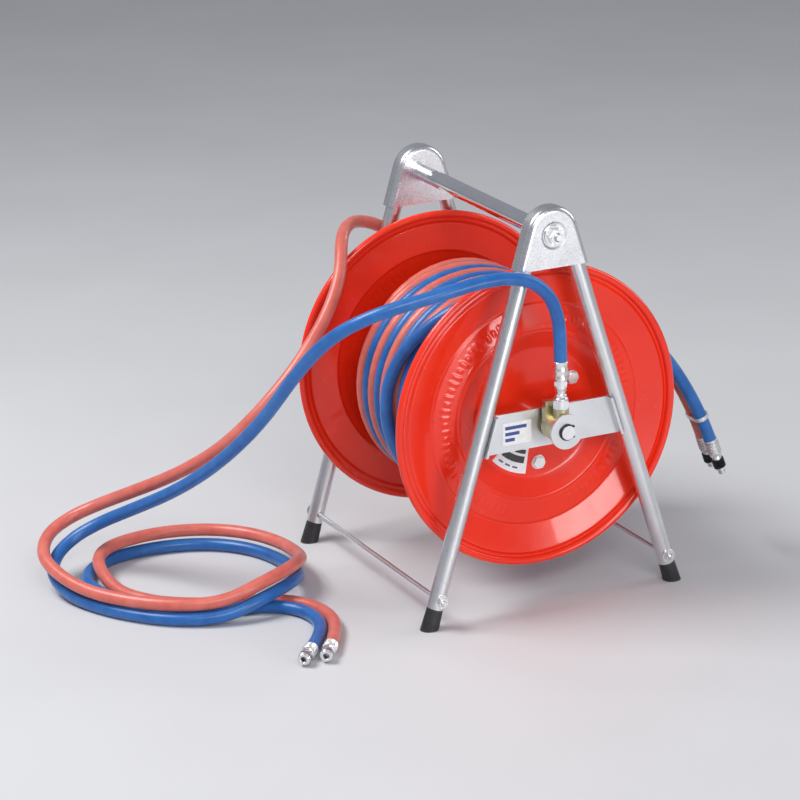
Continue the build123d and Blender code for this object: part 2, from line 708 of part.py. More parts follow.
def build():
    parts = dict(make_handle())
    unions, ferrules, seals, circlips = [], [], [], []
    screws, flange_nuts = make_flange_bolts()
    nipple, inlet_nut, inlet_ferrule = make_inlet()
    for side in ("near", "far"):
        for hand, word in ((-1, "left"), (1, "right")):
            parts[f"{side}_leg_{word}"] = to_side(make_leg(hand), side)
            parts[f"{side}_foot_{word}"] = to_side(make_foot(hand), side)
        parts[f"{side}_bracket"] = to_side(make_bracket(), side)
        parts[f"{side}_crossbar"] = to_side(make_crossbar(), side)
        parts[f"{side}_bearing_bush"] = to_side(make_bush(), side)
        parts[f"{side}_swivel_body"] = to_side(make_swivel_body(), side)
        parts[f"{side}_end_disc"] = to_side(make_end_disc(), side)
        parts[f"{side}_inlet_nipple"] = to_side(nipple, side)
        parts[f"{side}_flange"] = to_side(make_flange(), side)
        parts[f"{side}_axle"] = to_side(make_axle(), side)
        pipe_out = NEAR_PIPE_OUT if side == "near" else FAR_PIPE_OUT
        parts[f"{side}_feed_pipe"] = to_side(make_feed_pipe(pipe_out), side)
        unions.append(to_side(inlet_nut, side))
        ferrules.append(to_side(inlet_ferrule, side))
        circlips.append(to_side(make_circlip(), side))
        seals += [to_side(make_seal(out), side) for out in SEAL_OUTS]
    parts["inlet_nuts"] = Compound(children=unions)
    parts["inlet_ferrules"] = Compound(children=ferrules)
    parts["axle_circlips"] = Compound(children=circlips)
    parts["swivel_seals"] = Compound(children=seals)
    parts["flange_bolts"] = Compound(children=[pair(screw) for screw in screws])
    parts["flange_nuts"] = Compound(children=[pair(nut) for nut in flange_nuts])

    washers, nuts = [], []
    for hand, word in ((-1, "left"), (1, "right")):
        tie, washer, nut = make_tie_rod(hand)
        parts[f"tie_rod_{word}"] = tie
        washers.append(pair(washer))
        nuts.append(pair(nut))
    parts["tie_rod_washers"] = Compound(children=washers)
    parts["tie_rod_nuts"] = Compound(children=nuts)

    parts["drum_core"] = make_core()
    parts["wound_hose"] = make_wound_hose()
    parts["outlet_hose_clamp"] = make_clamp()
    hoses = (
        ("supply", "blue", BLUE_SUPPLY, SUPPLY_FERRULE_L),
        ("supply", "red", RED_SUPPLY, SUPPLY_FERRULE_L),
        ("outlet", "blue", BLUE_OUTLET, OUTLET_FERRULE_L),
        ("outlet", "red", RED_OUTLET, OUTLET_FERRULE_L),
    )
    crimped = {"supply": [], "outlet": []}
    for end, colour, points, ferrule_length in hoses:
        parts[f"{end}_hose_{colour}"] = make_hose(f"{end}_hose_{colour}", points)
        parts[f"{end}_coupler_{colour}"] = make_coupler(points, plug=end == "outlet")
        parts[f"{end}_sleeve_{colour}"] = make_sleeve(points)
        crimped[end].append(make_ferrule(points, ferrule_length))
    for end, pieces in crimped.items():
        parts[f"{end}_ferrules"] = Compound(children=pieces)
    return parts


os.makedirs("parts", exist_ok=True)
for node, shape in build().items():
    export_step(shape, f"parts/{node}.step")
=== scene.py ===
import json
import math
import bmesh
import bpy
from mathutils import Matrix, Vector


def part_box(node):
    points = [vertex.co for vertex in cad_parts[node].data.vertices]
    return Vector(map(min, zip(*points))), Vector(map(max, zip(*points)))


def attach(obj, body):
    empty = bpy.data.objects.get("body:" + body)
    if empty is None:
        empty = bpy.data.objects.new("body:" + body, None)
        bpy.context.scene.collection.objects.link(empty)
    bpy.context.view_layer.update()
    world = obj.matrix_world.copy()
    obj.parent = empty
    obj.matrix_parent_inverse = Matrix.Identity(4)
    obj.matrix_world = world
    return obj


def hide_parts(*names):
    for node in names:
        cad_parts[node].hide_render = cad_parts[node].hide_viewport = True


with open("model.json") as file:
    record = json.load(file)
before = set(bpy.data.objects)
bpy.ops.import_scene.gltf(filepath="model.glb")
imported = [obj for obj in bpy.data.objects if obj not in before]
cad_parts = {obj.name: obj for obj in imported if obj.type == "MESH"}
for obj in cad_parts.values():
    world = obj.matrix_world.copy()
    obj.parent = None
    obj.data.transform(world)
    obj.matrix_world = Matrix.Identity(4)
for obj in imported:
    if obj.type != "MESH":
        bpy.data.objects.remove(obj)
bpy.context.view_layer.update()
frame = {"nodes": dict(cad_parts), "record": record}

# Shapes below are in millimetres until they are placed. Everything placed is in metres.
MM = 0.001
NODES = frame["nodes"]
UP = Vector((0, 0, 1))


def centre_of(node):
    low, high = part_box(node)
    return (low + high) / 2


# Main sizes, read from the CAD frame
flange_low, flange_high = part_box("near_flange")
pack_low, pack_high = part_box("wound_hose")
HUB_Z = centre_of("near_axle").z
FLANGE_R = (flange_high.x - flange_low.x) / 2 / MM
RIM_OUT = -flange_low.y / MM
PACK_R = (pack_high.x - pack_low.x) / 2 / MM
CORE_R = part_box("drum_core")[1].x / MM
HOSE_R = 7.5


# ---------------------------------------------------------------- camera


def make_camera():
    """Long lens from the front left, set to line up with the photograph."""
    target = Vector((-0.1095, 0.0, 0.2168))
    place = Vector((-1.7084, -3.3060, 1.4342))
    roll = math.radians(-1.36)
    data = bpy.data.cameras.new("camera")
    data.sensor_width = 36.0
    data.lens = 151.74
    data.clip_start = 0.05
    data.clip_end = 50.0
    camera = bpy.data.objects.new("camera", data)
    bpy.context.scene.collection.objects.link(camera)
    look = (target - place).to_track_quat("-Z", "Y").to_matrix().to_4x4()
    camera.matrix_world = Matrix.Translation(place) @ look @ Matrix.Rotation(roll, 4, "Z")
    bpy.context.scene.camera = camera


make_camera()


# ---------------------------------------------------------------- materials


class Shading:
    """One procedural material: a node tree with a Principled shader."""

    def __init__(self, name, metallic, ior=1.5, coat=0.0, coat_roughness=0.05):
        self.material = bpy.data.materials.new(name)
        self.material.use_nodes = True
        self.tree = self.material.node_tree
        self.shader = self.tree.nodes["Principled BSDF"]
        self.shader.inputs["Metallic"].default_value = metallic
        self.shader.inputs["IOR"].default_value = ior
        self.shader.inputs["Coat Weight"].default_value = coat
        self.shader.inputs["Coat Roughness"].default_value = coat_roughness
        self.where = self.tree.nodes.new("ShaderNodeTexCoord").outputs["Object"]

    def link(self, source, target):
        self.tree.links.new(source, target)

    def noise(self, scale, detail=4.0, roughness=0.55, stretch=(1, 1, 1)):
        mapping = self.tree.nodes.new("ShaderNodeMapping")
        mapping.inputs["Scale"].default_value = stretch
        self.link(self.where, mapping.inputs["Vector"])
        noise = self.tree.nodes.new("ShaderNodeTexNoise")
        noise.inputs["Scale"].default_value = scale
        noise.inputs["Detail"].default_value = detail
        noise.inputs["Roughness"].default_value = roughness
        self.link(mapping.outputs["Vector"], noise.inputs["Vector"])
        return noise.outputs["Fac"]

    def ramp(self, value, stops):
        ramp = self.tree.nodes.new("ShaderNodeValToRGB")
        elements = ramp.color_ramp.elements
        while len(elements) < len(stops):
            elements.new(0.5)
        for element, (place, colour) in zip(elements, stops):
            element.position = place
            element.color = (*colour, 1.0)
        self.link(value, ramp.inputs["Fac"])
        return ramp.outputs["Color"]

    def span(self, value, low, high, from_low=0.3, from_high=0.7):
        span = self.tree.nodes.new("ShaderNodeMapRange")
        span.inputs["From Min"].default_value = from_low
        span.inputs["From Max"].default_value = from_high
        span.inputs["To Min"].default_value = low
        span.inputs["To Max"].default_value = high
        self.link(value, span.inputs["Value"])
        return span.outputs["Result"]

    def mix(self, factor, first, second_colour):
        mix = self.tree.nodes.new("ShaderNodeMix")
        mix.data_type = "RGBA"
        self.link(factor, mix.inputs["Factor"])
        self.link(first, mix.inputs["A"])
        mix.inputs["B"].default_value = (*second_colour, 1.0)
        return mix.outputs["Result"]

    def edges(self, start=0.53, end=0.58):
        """1 on sharp outer edges, where plating and paint wear first."""
        geometry = self.tree.nodes.new("ShaderNodeNewGeometry")
        return self.span(geometry.outputs["Pointiness"], 0.0, 1.0, start, end)

    def bump(self, height, strength, distance):
        bump = self.tree.nodes.new("ShaderNodeBump")
        bump.inputs["Strength"].default_value = strength
        bump.inputs["Distance"].default_value = distance
        self.link(height, bump.inputs["Height"])
        self.link(bump.outputs["Normal"], self.shader.inputs["Normal"])


def metal(
    name, dark, light, rough, patch=28.0, grain=420.0, stretch=(1, 1, 1), bump=0.06, wear=0.5
):
    """Plated, drawn or turned metal: cloudy tone, fine grain and brighter edges."""
    shading = Shading(name, metallic=1.0)
    patches = shading.noise(patch, 5.0, 0.6)
    colour = shading.ramp(patches, [(0.32, dark), (0.68, light)])
    bright = tuple(min(1.0, channel * 1.12) for channel in light)
    worn = shading.span(shading.edges(), 0.0, wear, 0.0, 1.0)
    shading.link(shading.mix(worn, colour, bright), shading.shader.inputs["Base Color"])
    grain_value = shading.noise(grain, 6.0, 0.6, stretch)
    roughness = shading.span(grain_value, rough[0], rough[1])
    shading.link(roughness, shading.shader.inputs["Roughness"])
    shading.bump(grain_value, bump, 0.0002)
    return shading.material


def enamel():
    """Gloss orange-red enamel with faint orange peel."""
    shading = Shading("red_enamel", metallic=0.0, ior=1.42, coat=0.35, coat_roughness=0.04)
    patches = shading.noise(9.0, 3.0)
    colour = shading.ramp(patches, [(0.3, (0.80, 0.022, 0.006)), (0.7, (0.90, 0.034, 0.008))])
    worn = shading.span(shading.edges(0.56, 0.64), 0.0, 0.25, 0.0, 1.0)
    shading.link(
        shading.mix(worn, colour, (0.90, 0.16, 0.08)), shading.shader.inputs["Base Color"]
    )
    shading.link(
        shading.span(shading.noise(60.0, 4.0), 0.20, 0.28), shading.shader.inputs["Roughness"]
    )
    shading.bump(shading.noise(260.0, 2.0), 0.035, 0.0004)
    return shading.material


def hose_rubber(name, dark, light, bloom):
    """Satin hose cover with a fine cloth imprint, mottling and a little dust."""
    shading = Shading(name, metallic=0.0, ior=1.48)
    mottle = shading.noise(55.0, 5.0, 0.65)
    colour = shading.ramp(mottle, [(0.28, dark), (0.72, light)])
    dust = shading.span(shading.noise(14.0, 3.0), 0.0, 0.22, 0.5, 0.8)
    shading.link(shading.mix(dust, colour, bloom), shading.shader.inputs["Base Color"])
    fine = shading.noise(1100.0, 3.0, 0.6)
    shading.link(shading.span(fine, 0.27, 0.38), shading.shader.inputs["Roughness"])
    shading.bump(fine, 0.10, 0.0002)
    shading.shader.inputs["Sheen Weight"].default_value = 0.08
    return shading.material


def moulded(name, dark, light, rough, grain=700.0, bump=0.16):
    """Moulded rubber or blackened metal: matt, slightly uneven, greyer on the edges."""
    shading = Shading(name, metallic=0.0)
    colour = shading.ramp(shading.noise(90.0, 5.0), [(0.3, dark), (0.7, light)])
    worn = shading.span(shading.edges(), 0.0, 0.35, 0.0, 1.0)
    grey = tuple(channel + 0.07 for channel in light)
    shading.link(shading.mix(worn, colour, grey), shading.shader.inputs["Base Color"])
    fine = shading.noise(grain, 4.0)
    shading.link(shading.span(fine, rough[0], rough[1]), shading.shader.inputs["Roughness"])
    shading.bump(fine, bump, 0.0003)
    return shading.material


def chromate():
    """Olive-yellow chromate with the faint pink and green tints of the plating."""
    shading = Shading("yellow_chromate", metallic=1.0)
    tints = shading.noise(70.0, 4.0, 0.6)
    colour = shading.ramp(
        tints,
        [(0.30, (0.40, 0.42, 0.26)), (0.5, (0.60, 0.55, 0.34)), (0.70, (0.66, 0.50, 0.36))],
    )
    shading.link(colour, shading.shader.inputs["Base Color"])
    fine = shading.noise(500.0, 4.0, 0.6, (1, 6, 1))
    shading.link(shading.span(fine, 0.28, 0.42), shading.shader.inputs["Roughness"])
    shading.bump(fine, 0.08, 0.0002)
    return shading.material


def printed(name, colour, rough=0.35):
    """Printed film of a label, with small wear marks."""
    shading = Shading(name, metallic=0.0, coat=0.3, coat_roughness=0.15)
    faded = tuple(channel * 0.86 + 0.02 for channel in colour)
    tone = shading.ramp(shading.noise(160.0, 5.0), [(0.3, faded), (0.6, colour)])
    shading.link(tone, shading.shader.inputs["Base Color"])
    fine = shading.noise(600.0, 3.0)
    roughness = shading.span(fine, rough - 0.05, rough + 0.08)
    shading.link(roughness, shading.shader.inputs["Roughness"])
    shading.bump(fine, 0.03, 0.0002)
    return shading.material


RED = enamel()
TUBE = metal(
    "satin_tube", (0.60, 0.61, 0.63), (0.74, 0.75, 0.77), (0.27, 0.36), stretch=(1, 1, 0.12)
)
BRIGHT = metal(
    "bright_zinc",
    (0.72, 0.72, 0.74),
    (0.84, 0.84, 0.86),
    (0.25, 0.33),
    patch=40.0,
    bump=0.015,
    wear=0.2,
)
CHROME = metal(
    "chrome", (0.80, 0.80, 0.82), (0.90, 0.90, 0.91), (0.04, 0.09), bump=0.01, wear=0.1
)
PLATE = metal(
    "zinc_plate", (0.56, 0.57, 0.59), (0.70, 0.71, 0.73), (0.30, 0.42), stretch=(0.1, 1, 1)
)
ZINC = metal(
    "zinc_fastener", (0.68, 0.68, 0.69), (0.84, 0.84, 0.85), (0.26, 0.38), patch=120.0, bump=0.02
)
BRONZE = metal("bronze", (0.36, 0.22, 0.10), (0.55, 0.36, 0.18), (0.35, 0.50), patch=90.0)
BRASS = metal("brass", (0.55, 0.38, 0.16), (0.72, 0.54, 0.26), (0.25, 0.38), patch=80.0)
DARK = metal("black_steel", (0.025, 0.025, 0.028), (0.06, 0.06, 0.065), (0.30, 0.45), patch=90.0)
FERRULE = metal("pale_ferrule", (0.72, 0.72, 0.70), (0.90, 0.90, 0.88), (0.28, 0.42), patch=110.0)
CHROMATE = chromate()
RUBBER = moulded("black_rubber", (0.010, 0.010, 0.011), (0.026, 0.026, 0.028), (0.42, 0.60))
BLUE_HOSE = hose_rubber(
    "blue_hose", (0.010, 0.090, 0.32), (0.018, 0.145, 0.46), (0.07, 0.21, 0.47)
)
RED_HOSE = hose_rubber("red_hose", (0.56, 0.105, 0.080), (0.70, 0.165, 0.125), (0.74, 0.32, 0.27))
LABEL_WHITE = printed("label_white", (0.86, 0.86, 0.85))
LABEL_BLUE = printed("label_blue", (0.03, 0.06, 0.30))
LABEL_BLACK = printed("label_black", (0.02, 0.02, 0.022))

SLOT_MATERIALS = {
    "red_paint": RED,
    "satin_tube": TUBE,
    "bright_zinc": BRIGHT,
    "chrome": CHROME,
    "zinc_plate": PLATE,
    "zinc_fastener": ZINC,
    "yellow_chromate": CHROMATE,
    "bronze": BRONZE,
    "brass": BRASS,
    "black_rubber": RUBBER,
    "black_steel": DARK,
    "pale_ferrule": FERRULE,
    "blue_hose": BLUE_HOSE,
    "red_hose": RED_HOSE,
}


def dress_cad_nodes():
    """Every CAD node gets its slot's material and a small edge bevel."""
    for entry in frame["record"]["subparts"]:
        node = NODES[entry["node"]]
        node.data.materials.clear()
        node.data.materials.append(SLOT_MATERIALS[entry["material_slot"]])
        bevel = node.modifiers.new("edge", "BEVEL")
        bevel.width = 0.0004
        bevel.segments = 2
        bevel.limit_method = "ANGLE"
        bevel.angle_limit = math.radians(40)
        bevel.harden_normals = False


dress_cad_nodes()


# ---------------------------------------------------------------- mesh helpers


def placed(origin, direction):
    """Matrix that puts a local +Z shape at origin, pointing along direction."""
    turn = Vector(direction).normalized().to_track_quat("Z", "Y").to_matrix().to_4x4()
    return Matrix.Translation(Vector(origin)) @ turn


def lathe(profile, segments=64, closed=True):
    """Revolves (along, radius) points about local Z. A radius of 0 makes a pole."""
    points, rings = [], []
    for along, radius in profile:
        if radius < 1e-6:
            rings.append([len(points)] * segments)
            points.append((0, 0, along))
            continue
        rings.append(list(range(len(points), len(points) + segments)))
        for step in range(segments):
            angle = math.tau * step / segments
            points.append((radius * math.cos(angle), radius * math.sin(angle), along))
    faces = []
    pairs = list(zip(rings, rings[1:]))
    if closed:
        pairs.append((rings[-1], rings[0]))
    for ring, after in pairs:
        for step in range(segments):
            other = (step + 1) % segments
            corners = (ring[step], ring[other], after[other], after[step])
            face = list(dict.fromkeys(corners))
            if len(face) > 2:
                faces.append(face)
    return points, faces


def hex_nut(flats, height, bore, segments=96):
    """Hexagon with the curved chamfers of a turned nut. A bore of 0 leaves it solid."""
    chamfer_r = flats * 0.49
    slope = math.tan(math.radians(30))
    rows = []
    for step in range(segments):
        angle = math.tau * step / segments
        within = (angle % (math.pi / 3)) - math.pi / 6
        radius = flats / 2 / math.cos(within)
        drop = (radius - chamfer_r) * slope
        outline = [
            (chamfer_r, 0),
            (radius, drop),
            (radius, height - drop),
            (chamfer_r, height),
        ]
        inner = [(bore + 0.5, height), (bore, height - 0.5), (bore, 0.5), (bore + 0.5, 0)]
        if bore == 0:
            inner = [(0.01, height), (0.01, 0)]
        rows.append([(r * math.cos(angle), r * math.sin(angle), z) for r, z in outline + inner])
    points = [point for row in rows for point in row]
    width = len(rows[0])
    faces = []
    for step in range(segments):
        other = (step + 1) % segments
        for index in range(width):
            after = (index + 1) % width
            faces.append(
                (
                    step * width + index,
                    other * width + index,
                    other * width + after,
                    step * width + after,
                )
            )
    return points, faces


def threaded(radius, start, end, pitch=1.25):
    """Solid screw end with thread crests and a chamfered tip."""
    root = radius - 0.5 * pitch
    profile = [(start, 0), (start, root)]
    along = start
    while along + pitch < end - 0.8:
        profile += [(along + pitch * 0.15, root), (along + pitch * 0.5, radius - 0.05)]
        profile.append((along + pitch * 0.85, root))
        along += pitch
    profile += [(end - 0.8, root), (end, root - 0.6), (end, 0)]
    return lathe(profile, 48, closed=False)


def washer(inner, outer, thickness):
    edge = 0.25
    return lathe(
        [
            (0, inner),
            (0, outer - edge),
            (edge, outer),
            (thickness - edge, outer),
            (thickness, outer - edge),
            (thickness, inner),
        ]
    )


class Piece:
    """Gathers shapes into one mesh object that rides on a CAD body."""

    def __init__(self, name):
        self.name = name
        self.points = []
        self.faces = []

    def add(self, shape, matrix=None):
        points, faces = shape
        base = len(self.points)
        matrix = matrix or Matrix.Identity(4)
        self.points += [matrix @ (Vector(point) * MM) for point in points]
        self.faces += [[base + index for index in face] for face in faces]
        return self

    def make(self, material, body, nodes=(), sharp=35.0):
        mesh = bpy.data.meshes.new(self.name)
        mesh.from_pydata(self.points, [], self.faces)
        mesh.validate()
        mesh.materials.append(material)
        made = bpy.data.objects.new(self.name, mesh)
        bpy.context.scene.collection.objects.link(made)
        face_outwards(mesh)
        mesh.shade_smooth()
        mesh.set_sharp_from_angle(angle=math.radians(sharp))
        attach(made, body)
        if nodes:
            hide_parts(*nodes)
        return made


def face_outwards(mesh):
    shell = bmesh.new()
    shell.from_mesh(mesh)
    bmesh.ops.recalc_face_normals(shell, faces=shell.faces)
    shell.to_mesh(mesh)
    shell.free()


SIDES = (("near", -1), ("far", 1))


def out_from(side, out, x=0.0, z=HUB_Z):
    """Matrix for a shape that grows outwards along Y from a distance out, in millimetres."""
    return placed((x, side * out * MM, z), (0, side, 0))


# ---------------------------------------------------------------- hoses

# The same routes as in the CAD source, in metres
BLUE_SUPPLY = [
    (0, -0.184, 0.278),
    (0, -0.184, 0.316),
    (-0.003, -0.185, 0.350),
    (-0.017, -0.187, 0.380),
    (-0.045, -0.189, 0.400),
    (-0.088, -0.190, 0.406),
    (-0.152, -0.187, 0.396),
    (-0.220, -0.168, 0.380),
    (-0.256, -0.131, 0.350),
    (-0.277, -0.086, 0.300),
    (-0.297, -0.034, 0.232),
    (-0.323, 0.030, 0.169),
    (-0.352, 0.094, 0.120),
    (-0.386, 0.158, 0.082),
    (-0.410, 0.190, 0.062),
    (-0.442, 0.199, 0.046),
    (-0.472, 0.185, 0.032),
    (-0.487, 0.156, 0.021),
    (-0.484, 0.121, 0.012),
    (-0.472, 0.084, 0.0076),
    (-0.449, 0.038, 0.0076),
    (-0.408, -0.010, 0.0076),
    (-0.354, -0.037, 0.009),
    (-0.308, -0.039, 0.024),
    (-0.267, -0.021, 0.027),
    (-0.238, 0.010, 0.023),
    (-0.222, 0.056, 0.010),
    (-0.222, 0.112, 0.0076),
    (-0.240, 0.160, 0.0076),
    (-0.276, 0.196, 0.0076),
    (-0.330, 0.214, 0.0076),
    (-0.390, 0.210, 0.0076),
    (-0.436, 0.180, 0.0076),
    (-0.452, 0.130, 0.0076),
    (-0.438, 0.076, 0.0076),
    (-0.404, 0.024, 0.0076),
    (-0.352, -0.008, 0.0076),
    (-0.300, -0.020, 0.0076),
    (-0.266, -0.048, 0.0076),
    (-0.260, -0.094, 0.0076),
    (-0.282, -0.138, 0.0076),
    (-0.312, -0.174, 0.0088),
]
RED_SUPPLY = [
    (0, 0.184, 0.278),
    (0, 0.184, 0.312),
    (-0.007, 0.185, 0.338),
    (-0.022, 0.189, 0.357),
    (-0.045, 0.191, 0.373),
    (-0.074, 0.184, 0.382),
    (-0.098, 0.161, 0.382),
    (-0.117, 0.132, 0.375),
    (-0.132, 0.102, 0.354),
    (-0.147, 0.084, 0.333),
    (-0.168, 0.068, 0.309),
    (-0.195, 0.052, 0.285),
    (-0.227, 0.038, 0.258),
    (-0.260, 0.036, 0.228),
    (-0.288, 0.046, 0.198),
    (-0.314, 0.070, 0.166),
    (-0.348, 0.116, 0.130),
    (-0.382, 0.172, 0.098),
    (-0.407, 0.206, 0.078),
    (-0.441, 0.217, 0.064),
    (-0.474, 0.204, 0.053),
    (-0.494, 0.169, 0.042),
    (-0.490, 0.127, 0.032),
    (-0.475, 0.083, 0.025),
    (-0.449, 0.039, 0.0236),
    (-0.406, -0.006, 0.0236),
    (-0.352, -0.031, 0.025),
    (-0.306, -0.032, 0.040),
    (-0.266, -0.015, 0.043),
    (-0.234, 0.016, 0.039),
    (-0.214, 0.060, 0.026),
    (-0.213, 0.114, 0.0236),
    (-0.234, 0.166, 0.0236),
    (-0.274, 0.203, 0.0236),
    (-0.330, 0.220, 0.0236),
    (-0.388, 0.210, 0.024),
    (-0.421, 0.182, 0.024),
    (-0.431, 0.144, 0.017),
    (-0.427, 0.102, 0.0078),
    (-0.413, 0.068, 0.0076),
    (-0.390, 0.038, 0.0076),
    (-0.342, 0.009, 0.0076),
    (-0.292, -0.004, 0.0076),
    (-0.252, -0.036, 0.0076),
    (-0.242, -0.088, 0.0076),
    (-0.262, -0.138, 0.0076),
    (-0.288, -0.176, 0.0088),
]
BLUE_OUTLET = [
    (0.0705, -0.104, 0.3399),
    (0.112, -0.104, 0.316),
    (0.156, -0.104, 0.281),
    (0.194, -0.104, 0.234),
    (0.220, -0.104, 0.190),
    (0.237, -0.104, 0.153),
    (0.247, -0.106, 0.125),
]
RED_OUTLET = [
    (0.0705, -0.087, 0.3399),
    (0.111, -0.087, 0.3165),
    (0.157, -0.087, 0.282),
    (0.195, -0.087, 0.234),
    (0.220, -0.087, 0.190),
    (0.237, -0.087, 0.153),
    (0.248, -0.084, 0.125),
]


def hose_curve(name, points, material, body, along=8, around=8):
    """Round hose along a smooth NURBS line with the route's points as its control points."""
    curve = bpy.data.curves.new(name, "CURVE")
    curve.dimensions = "3D"
    curve.bevel_depth = HOSE_R * MM
    curve.bevel_resolution = around
    curve.resolution_u = along
    curve.use_fill_caps = True
    spline = curve.splines.new("NURBS")
    spline.points.add(len(points) - 1)
    for control, point in zip(spline.points, points):
        control.co = (*point, 1.0)
    spline.order_u = 3
    spline.use_endpoint_u = True
    spline.use_smooth = True
    curve.materials.append(material)
    hose = bpy.data.objects.new(name, curve)
    bpy.context.scene.collection.objects.link(hose)
    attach(hose, body)
    return hose


def end_matrix(points):
    """Matrix at a hose's cut end, looking the way the hose runs."""
    last, before = Vector(points[-1]), Vector(points[-2])
    return placed(last, last - before)


# ---------------------------------------------------------------- hose fittings

FERRULE_LIP = 2.0
FERRULE_R = HOSE_R + 0.8
SLEEVE_START = 10.3
SLEEVE_L = 11.0
LIP_START = SLEEVE_START + SLEEVE_L + 0.3
LIP_END = LIP_START + 1.8
SOCKET_DEPTH = 12.0
PLUG_L = 7.0


def crimped_ferrule(start, end, grooves):
    """Ferrule with rolled crimp grooves and rounded ends, over a hose of HOSE_R."""
    outer = FERRULE_R
    profile = [(start, HOSE_R - 0.15), (start, outer - 0.5), (start + 0.5, outer)]
    step = (end - start - 3.0) / grooves
    for index in range(grooves):
        left = start + 1.5 + step * index
        profile += [
            (left + step * 0.10, outer),
            (left + step * 0.28, outer - 0.75),
            (left + step * 0.72, outer - 0.75),
            (left + step * 0.90, outer),
        ]
    profile += [(end - 0.8, outer), (end, outer - 0.8), (end, 3.9), (end - FERRULE_LIP, 3.9)]
    profile.append((end - FERRULE_LIP, HOSE_R - 0.15))
    return lathe(profile, 72)


def coupler_body(plug):
    """Hexagon, barrel, grooved lip and either an open socket or a plug tip."""
    barrel = [
        (0, 2.0),
        (0, 3.95),
        (FERRULE_LIP, 3.95),
        (FERRULE_LIP + 3.9, 5.5),
        (LIP_START, 5.5),
        (LIP_START + 0.2, 6.3),
        (LIP_END - 0.4, 6.3),
        (LIP_END, 5.9),
    ]
    if plug:
        tip = LIP_END + PLUG_L
        barrel += [
            (LIP_END, 4.2),
            (LIP_END + 2.2, 4.2),
            (LIP_END + 2.6, 3.6),
            (LIP_END + 3.8, 3.6),
            (LIP_END + 4.2, 4.2),
            (tip - 1.0, 4.2),
            (tip, 3.4),
            (tip, 2.0),
        ]
    else:
        floor = LIP_END - SOCKET_DEPTH
        barrel += [(LIP_END, 3.7), (LIP_END - 0.5, 3.2), (floor, 3.2), (floor, 2.0)]
    return lathe(barrel, 64)


def knurled_sleeve(radius, teeth, depth):
    """Sliding sleeve with straight knurls between two plain rims."""
    segments = teeth * 4
    rows = [
        (0.0, 5.55, False),
        (0.0, radius - 0.4, False),
        (0.4, radius, False),
        (1.6, radius, False),
        (2.0, radius, True),
        (SLEEVE_L - 2.0, radius, True),
        (SLEEVE_L - 1.6, radius, False),
        (SLEEVE_L - 0.4, radius, False),
        (SLEEVE_L, radius - 0.4, False),
        (SLEEVE_L, 5.55, False),
    ]
    points, faces = [], []
    for along, ring_r, knurled in rows:
        for step in range(segments):
            angle = math.tau * step / segments
            cut = depth if knurled and step % 4 in (0, 1) else 0.0
            reach = ring_r - cut
            points.append((reach * math.cos(angle), reach * math.sin(angle), along))
    for row in range(len(rows)):
        after_row = (row + 1) % len(rows)
        for step in range(segments):
            other = (step + 1) % segments
            faces.append(
                (
                    row * segments + step,
                    row * segments + other,
                    after_row * segments + other,
                    after_row * segments + step,
                )
            )
    return points, faces


def ferrule_group(end, grooves, length, routes):
    """The two crimped ferrules at one end of the hoses, as one piece."""
    piece = Piece(f"{end}_ferrules_crimped")
    for points in routes:
        matrix = end_matrix(points)
        piece.add(crimped_ferrule(FERRULE_LIP - length, FERRULE_LIP, grooves), matrix)
    return piece.make(FERRULE, "stand", [f"{end}_ferrules"], sharp=28)


def make_coupler(end, colour, points, plug):
    name = f"{end}_coupler_{colour}"
    matrix = end_matrix(points)
    body = Piece(f"{name}_turned").add(coupler_body(plug), matrix)
    body.add(hex_nut(13.0, 4.0, 3.9), matrix @ Matrix.Translation((0, 0, FERRULE_LIP * MM)))
    made = body.make(BRIGHT, "stand", [name], sharp=30)
    sleeve_name = f"{end}_sleeve_{colour}"
    sleeve = Piece(f"{sleeve_name}_knurled").add(
        knurled_sleeve(7.3, 30, 0.5), matrix @ Matrix.Translation((0, 0, SLEEVE_START * MM))
    )
    material = DARK if plug else BRIGHT
    sleeve_made = sleeve.make(material, f"{sleeve_name}_body", [sleeve_name], sharp=25)
    return made, sleeve_made


def make_free_hoses():
    supply_ferrules = ferrule_group("supply", 3, 13.0, (BLUE_SUPPLY, RED_SUPPLY))
    outlet_ferrules = ferrule_group("outlet", 4, 18.0, (BLUE_OUTLET, RED_OUTLET))
    runs = (
        ("supply", "blue", BLUE_SUPPLY, BLUE_HOSE, 2.16, "loose"),
        ("supply", "red", RED_SUPPLY, RED_HOSE, 2.06, "loose"),
        ("outlet", "blue", BLUE_OUTLET, BLUE_HOSE, 0.286, "hanging"),
        ("outlet", "red", RED_OUTLET, RED_HOSE, 0.287, "hanging"),
    )
    for end, colour, points, material, length, lay in runs:
        node = f"{end}_hose_{colour}"
        hose = hose_curve(f"{node}_line", points, material, "stand")
        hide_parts(node)
        coupler, sleeve = make_coupler(end, colour, points, plug=end == "outlet")


make_free_hoses()


# ---------------------------------------------------------------- wound hose

LAYERS = 4
HOSE_PITCH = 15.2
POINTS_PER_TURN = 14
LEAVE_ANGLE = 60.0  # degrees above +X, where the hoses leave the drum
TOP_R = 141.0


def smooth(value):
    return value * value * (3 - 2 * value)


def wander(turn):
    """Slow uneven drift of a winding, in -1..1, the same each run."""
    return (math.sin(turn * 2.3) + math.sin(turn * 5.1 + 1.4) * 0.6 + math.sin(turn * 0.9)) / 2.6


